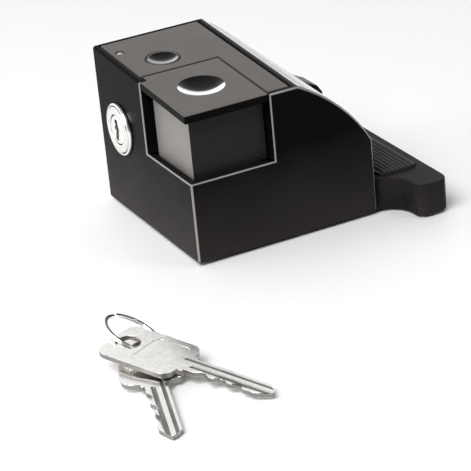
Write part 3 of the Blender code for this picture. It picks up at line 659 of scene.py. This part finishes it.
def push_button():
    """Flanged button whose face is a polished shallow dish, its colour paler at a glancing view: a painted
    reflection.
    """
    corner, dish_radius, dish_depth, centre_radius = 0.35, PUSH_RADIUS - 0.6, 1.25, 0.05
    profile = [
        (-6.0, 1.9), (-4.7, 1.9), (-4.7, 6.3), (-3.75, 6.3), (-3.75, PUSH_RADIUS), (-corner, PUSH_RADIUS),
    ]
    for i in range(1, 5):
        angle = math.radians(22.5 * i)
        radius = PUSH_RADIUS - corner + corner * math.cos(angle)
        profile.append((-corner + corner * math.sin(angle), radius))
    steps = 12
    for i in range(steps + 1):
        share = i / steps
        radius = dish_radius * (1 - share) + centre_radius * share
        profile.append((-dish_depth * (1 - (radius / dish_radius) ** 2) ** 0.85, radius))
    shape = sloped(profile, PUSH_X, PUSH_Y)
    for face in shape.faces:
        x, y, z = face.calc_center_median()
        if math.hypot(x - PUSH_X, y - PUSH_Y) < dish_radius:
            face.material_index = 1
    show("push_button_skin", metres(shape), "push", [SATIN, BUTTON_DISH_PAINTED_REFLECTION], "grey_satin", "push_button",
         smooth_angle=30)


def lock_face():
    """Bezel ring, barrel and the plug with its keyway, as (distance to the right, radius) profiles."""
    bezel = [(-0.3, 7.6), (-1.05, 7.6), (-1.2, 7.7), (-1.2, 7.95), (-1.12, 8.12), (-0.9, 8.26), (-0.3, 8.3)]
    show("lock_bezel_skin", metres(turned(bezel, LOCK, "x", closed=True)), "block", CHROME, "chrome",
         "lock_bezel", smooth_angle=40)
    barrel = [
        (20.0, 4.8), (-1.3, 4.8), (-1.5, 4.95), (-1.6, 5.2), (-1.6, 6.75), (-1.52, 7.0), (-1.35, 7.2),
        (-1.1, 7.3), (-0.3, 7.3), (-0.3, 6.2), (20.0, 6.2),
    ]
    show("lock_barrel_skin", metres(turned(barrel, LOCK, "x", closed=True)), "block", BARREL, "nickel",
         "lock_barrel", smooth_angle=40)
    plug = [
        (-1.2, 0.6), (-1.35, 1.6), (-1.5, 2.6), (-1.5, 4.0), (-1.42, 4.3), (-1.2, 4.5), (22.0, 4.5),
        (22.0, 0.6),
    ]
    x, y, z = LOCK
    half_slot = 0.95
    keyway = prism(rounded(y - half_slot, y + half_slot, z - 3.4, z + 3.4, 0.5, 4), -4.0, 17.0, "x")
    ward = block((-2.2, y + half_slot - 0.02, z - 0.2), (16.0, y + 1.6, z + 0.9))
    screw_hole = turned([(18.0, 1.4), (24.0, 1.4)], LOCK, "x", 24)
    cutters = [("DIFFERENCE", cutter) for cutter in (keyway, ward, screw_hole)]
    shape = combine(turned(plug, LOCK, "x"), *cutters)
    show("lock_plug_skin", metres(shape), "key_plug", CHROME, "chrome", "lock_plug", smooth_angle=35)


def lamp():
    """Lens with a domed end, just under the panel's surface."""
    height = top(LAMP_Y) - 0.05
    profile = [
        (43.3, LAMP_RADIUS), (height - 0.55, LAMP_RADIUS), (height - 0.3, 1.02), (height - 0.12, 0.8),
        (height, 0.3),
    ]
    shape = turned(profile, (LAMP_X, LAMP_Y, 0.0), sides=48)
    show("lamp_lens_skin", metres(shape), "block", LAMP, "lamp_clear", "lamp_lens", smooth_angle=50)


def rubber_feet():
    """Round feet with ring-shaped ridges underneath."""
    ridges = []
    for radius in (3.9, 3.3, 2.7, 2.1, 1.5, 0.9):
        ridges += [(0.0, radius), (0.0, radius - 0.22), (0.22, radius - 0.3), (0.22, radius - 0.52)]
    profile = [(1.5, 4.4), (0.5, 4.4), (0.12, 4.15), *ridges]
    for i, (x, y) in enumerate(FEET):
        name = f"foot_{i + 1}"
        shape = metres(turned(profile, (x, y, 0.0), sides=64))
        show(f"{name}_skin", shape, "block", RUBBER, "rubber", name, smooth_angle=35)


def pads():
    """Rubber pads under and beside the computer; the one underneath has moulded ribs."""
    left, right, front, back = 64.0, 77.0, 2.0, 50.0
    bottom, valley, border, rib_top = 10.7, 11.45, 11.65, 11.9
    count, margin = 8, 0.9
    section = [(left, bottom), (right, bottom), (right, border)]
    pitch = (right - left - 2 * margin) / count
    for i in range(count):
        start = right - margin - pitch * i
        section += [
            (start, rib_top), (start - pitch * 0.55, rib_top), (start - pitch * 0.7, valley),
            (start - pitch * 0.85, valley),
        ]
    section.append((left, border))
    ribs = prism(section, front - 1.0, back + 1.0, "y")
    plan = prism(rounded(left, right, front, back, 2.0), 9.0, 14.0)
    shape = metres(combine(ribs, ("INTERSECT", plan)))
    show("foot_pad_skin", shape, "block", RUBBER, "rubber", "foot_pad", smooth_angle=35)
    refine("side_pad", 0.2, RUBBER, "rubber")


def bevelled_nodes():
    """Pieces whose CAD shape only needs softer edges."""
    refine("latch_bolt", 0.25, STEEL, "steel", "bolt")
    refine("hook_slide", 0.22, STEEL, "steel", "hook")
    refine("cable_slot_plate", 0.2, STEEL, "nickel")
    for i in range(4):
        refine(f"base_screw_{i + 1}", 0.12, STEEL, "steel")
    refine("base_plate", 0.25, MOULDED, "black_plastic")


def springs():
    """Copies of the CAD springs, left free of any body; in the object each sits between the block and the
    body it pushes.
    """
    held = {
        "release_spring_front": ("release_slider", 2),
        "release_spring_rear": ("release_slider", 2),
        "latch_spring": ("bolt", 0),
        "button_spring": ("push", 2),
    }
    for node, (body, axis) in held.items():
        low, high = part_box(node)
        start = (low + high) / 2
        end = start.copy()
        start[axis], end[axis] = low[axis], high[axis]
        made = show(f"{node}_skin", metres(to_bmesh(node)), None, SPRING, "steel", node)
        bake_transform(made)


# ---------------------------------------------------------------- keys and ring

def key_outline():
    """Bow, shoulders, a cut blade and a pointed tip."""
    end, neck, tip, bow, blade, corner = 5.0, 19.5, 48.0, 8.7, 3.1, 3.5
    stop, shoulder = neck + 1.6, blade + 1.0
    cuts = [
        (24.5, 0.0), (26.0, 1.3), (27.4, 1.3), (28.9, 0.2), (30.2, 0.2), (31.8, 1.7), (33.2, 1.7),
        (34.8, 0.5), (36.0, 0.5), (37.4, 1.4), (38.8, 1.4), (40.2, 0.3), (43.8, 0.3),
    ]
    return [
        *arc((-end + corner, -bow + corner), corner, 180, 270, 12),
        *arc((neck - corner, -bow + corner), corner, 270, 360, 12),
        (neck, -shoulder),
        (stop, -shoulder),
        (stop, -blade),
        *[(x, -blade + depth) for x, depth in cuts],
        (tip - 0.8, -0.6),
        (tip, 0.2),
        (tip - 0.6, 1.2),
        (tip - 2.6, blade),
        (stop, blade),
        (stop, shoulder),
        (neck, shoulder),
        *arc((neck - corner, bow - corner), corner, 0, 90, 12),
        *arc((-end + corner, bow - corner), corner, 90, 180, 12),
    ]


def groove(start, end, low, high, depth, side):
    """Milled channel along the blade, cut into the upper (side 1) or lower (side -1) face."""
    half = KEY_THICKNESS / 2
    wall = depth * 0.5
    above, floor_level = side * (half + 0.3), side * (half - depth)
    section = [
        (low - wall, above), (low + wall * 0.2, floor_level), (high - wall * 0.2, floor_level),
        (high + wall, above),
    ]
    return prism(section, start, end, "x")


def keys():
    """Two keys with a sunk field on the bow and milled grooves on both sides."""
    half = KEY_THICKNESS / 2
    for name, (hole, heading, pitch) in KEYS.items():
        body = "upper_key" if name == "key_upper" else "lower_key"
        blank = prism(key_outline(), -half, half)
        ring_hole = turned([(-2.0, 3.6), (2.0, 3.6)], sides=64)
        cutters = [ring_hole]
        for side in (1, -1):
            middle = -0.9 * side
            low, high = sorted((side * (half - 0.12), side * (half + 1.0)))
            cutters.append(groove(21.8, 60.0, middle - 0.55, middle + 0.55, 0.42, side))
            cutters.append(groove(18.0, 60.0, 1.25, 2.15, 0.3, side))
            cutters.append(prism(rounded(5.2, 17.2, -6.6, 6.6, 2.4), low, high))
        shape = combine(blank, *[("DIFFERENCE", cutter) for cutter in cutters])
        bmesh.ops.dissolve_limit(shape, angle_limit=math.radians(0.5), verts=shape.verts, edges=shape.edges)
        round_edges(shape, 0.10, angle=50.0)
        shape.normal_update()
        # Side faces and milled groove floors take the darker plating: painted shade.
        for face in shape.faces:
            x, y, z = face.calc_center_median()
            level = abs(face.normal.z) > 0.3
            milled = x > 18.0 and abs(z) < half - 0.05 and level and face.calc_area() > 0.5
            if milled or abs(face.normal.z) < 0.3:
                face.material_index = 1
        turn = Matrix.Rotation(math.radians(heading), 4, "Z") @ Matrix.Rotation(math.radians(pitch), 4, "Y")
        bmesh.ops.transform(shape, matrix=Matrix.Translation(hole) @ turn, verts=shape.verts)
        show(f"{name}_skin", metres(shape), body, [NICKEL, KEY_PAINTED_SHADE], "nickel", name)


def split_ring():
    """Two turns of flat wire, pressed together, with a step where the ends lie."""
    low_side = Vector((math.cos(RING_LOW_SIDE), math.sin(RING_LOW_SIDE), 0.0))
    across = Vector((-low_side.y, low_side.x, 0.0))
    down = low_side * math.cos(RING_TILT) - Vector((0.0, 0.0, math.sin(RING_TILT)))
    normal = down.cross(across)
    centre = Vector((*RING_CENTRE, RING_RADIUS * math.sin(RING_TILT) + RING_WIRE + 0.05))
    half_width, half_height, gap = 0.55, 0.27, 0.02
    section = rounded(-half_width, half_width, -half_height, half_height, 0.2, 3)
    outlines = []
    steps = 180
    for i in range(steps + 1):
        share = i / steps
        angle = RING_START + RING_TURN * share
        outward = down * math.cos(angle) + across * math.sin(angle)
        crossing = 1 / (1 + math.exp(-(share - 0.5) * 40))
        level = (half_height + gap) * (2 * crossing - 1)
        middle = centre + outward * RING_RADIUS + normal * level
        outlines.append([middle + outward * a + normal * b for a, b in section])
    show("key_ring_skin", metres(loft(outlines)), "ring", NICKEL, "nickel", "key_ring", smooth_angle=40)


# ---------------------------------------------------------------- the rest of the CAD nodes

def finish_kept_nodes():
    """Better materials for the inner nodes that stay as they are."""
    kept = {
        STEEL: ["guide_post_front", "guide_post_rear", "lock_nut", "lock_cam", "cam_screw", "hook_screw_1",
                "hook_screw_2", "board_screw_1", "board_screw_2"],
        MOULDED: ["tact_switch", "board_connector"],
        RUBBER: ["switch_plunger"],
        BOARD: ["switch_board"],
        LAMP: ["lamp_chip"],
    }
    for material, names in kept.items():
        for name in names:
            mesh = frame["nodes"][name].data
            mesh.materials.clear()
            mesh.materials.append(material)


# ---------------------------------------------------------------- stage

def floor():
    """Pale desk under the object."""
    m = Material("pale_floor")
    tone = m.spread(m.noise(3.0, 3.0), 0.0, 1.0)
    m.link(m.blend(tone, (0.90, 0.90, 0.895), (0.92, 0.92, 0.915)), m.shader.inputs["Base Color"])
    m.set(Roughness=0.6)
    mesh = bpy.data.meshes.new("floor")
    reach = 3.0
    corners = [(-reach, -reach, 0), (reach, -reach, 0), (reach, reach, 0), (-reach, reach, 0)]
    mesh.from_pydata(corners, [], [(0, 1, 2, 3)])
    mesh.materials.append(m.data)
    made = bpy.data.objects.new("floor", mesh)
    bpy.context.scene.collection.objects.link(made)


def area_light(name, place, aim, size, power):
    """Soft elliptical light at a place, turned to its aim."""
    data = bpy.data.lights.new(name, "AREA")
    data.shape = "ELLIPSE"
    data.size, data.size_y = size
    data.energy = power
    made = bpy.data.objects.new(name, data)
    made.location = place
    made.rotation_mode = "QUATERNION"
    made.rotation_quaternion = (Vector(aim) - Vector(place)).to_track_quat("-Z", "Y")
    bpy.context.scene.collection.objects.link(made)


def world():
    """Pale surroundings: a bright horizon behind the object, a grey sky overhead and a dim front."""
    made = bpy.data.worlds.new("studio")
    bpy.context.scene.world = made
    made.use_nodes = True
    nodes, links = made.node_tree.nodes, made.node_tree.links
    background = nodes["Background"]
    background.inputs["Color"].default_value = (1.0, 1.0, 1.0, 1.0)
    place = nodes.new("ShaderNodeTexCoord")
    parts = nodes.new("ShaderNodeSeparateXYZ")
    links.new(place.outputs["Generated"], parts.inputs["Vector"])

    def ramp(value, start, end, low, high):
        """Goes smoothly from low at start to high at end."""
        node = nodes.new("ShaderNodeMapRange")
        node.interpolation_type = "SMOOTHSTEP"
        node.inputs["From Min"].default_value = start
        node.inputs["From Max"].default_value = end
        node.inputs["To Min"].default_value = low
        node.inputs["To Max"].default_value = high
        links.new(value, node.inputs["Value"])
        return node.outputs["Result"]

    share_behind = ramp(parts.outputs["Y"], -0.5, 0.6, 0.12, 1.0)
    low_glow = ramp(parts.outputs["Z"], 0.05, 0.32, HORIZON_GLOW, SKY_GLOW)
    overhead = ramp(parts.outputs["Z"], 0.5, 0.8, 1.0, 0.5)
    strength = share_behind
    for factor in (low_glow, overhead):
        product = nodes.new("ShaderNodeMath")
        product.operation = "MULTIPLY"
        links.new(strength, product.inputs[0])
        links.new(factor, product.inputs[1])
        strength = product.outputs["Value"]
    links.new(strength, background.inputs["Strength"])


def camera():
    """The photograph's camera, as solved from the laptop's lid."""
    data = bpy.data.cameras.new("camera")
    data.sensor_width = CAMERA_SENSOR
    data.lens = CAMERA_LENS
    data.clip_start, data.clip_end = 0.01, 20.0
    made = bpy.data.objects.new("camera", data)
    place, aim = at(*CAMERA_PLACE), at(*CAMERA_AIM)
    made.location = place
    made.rotation_mode = "QUATERNION"
    level = (aim - place).to_track_quat("-Z", "Y")
    made.rotation_quaternion = level @ Matrix.Rotation(CAMERA_ROLL, 3, "Z").to_quaternion()
    bpy.context.scene.collection.objects.link(made)
    bpy.context.scene.camera = made


def stage():
    """Floor, surroundings, lights and camera."""
    floor()
    world()
    middle = at(20, 0, 20)
    for name, (offset, size, power) in LIGHTS.items():
        area_light(name, middle + Vector(offset), middle, size, power)
    camera()
    bpy.context.scene.view_settings.view_transform = "Standard"


housing()
top_panel()
release_button()
push_button()
lock_face()
lamp()
rubber_feet()
pads()
bevelled_nodes()
springs()
keys()
split_ring()
finish_kept_nodes()
stage()
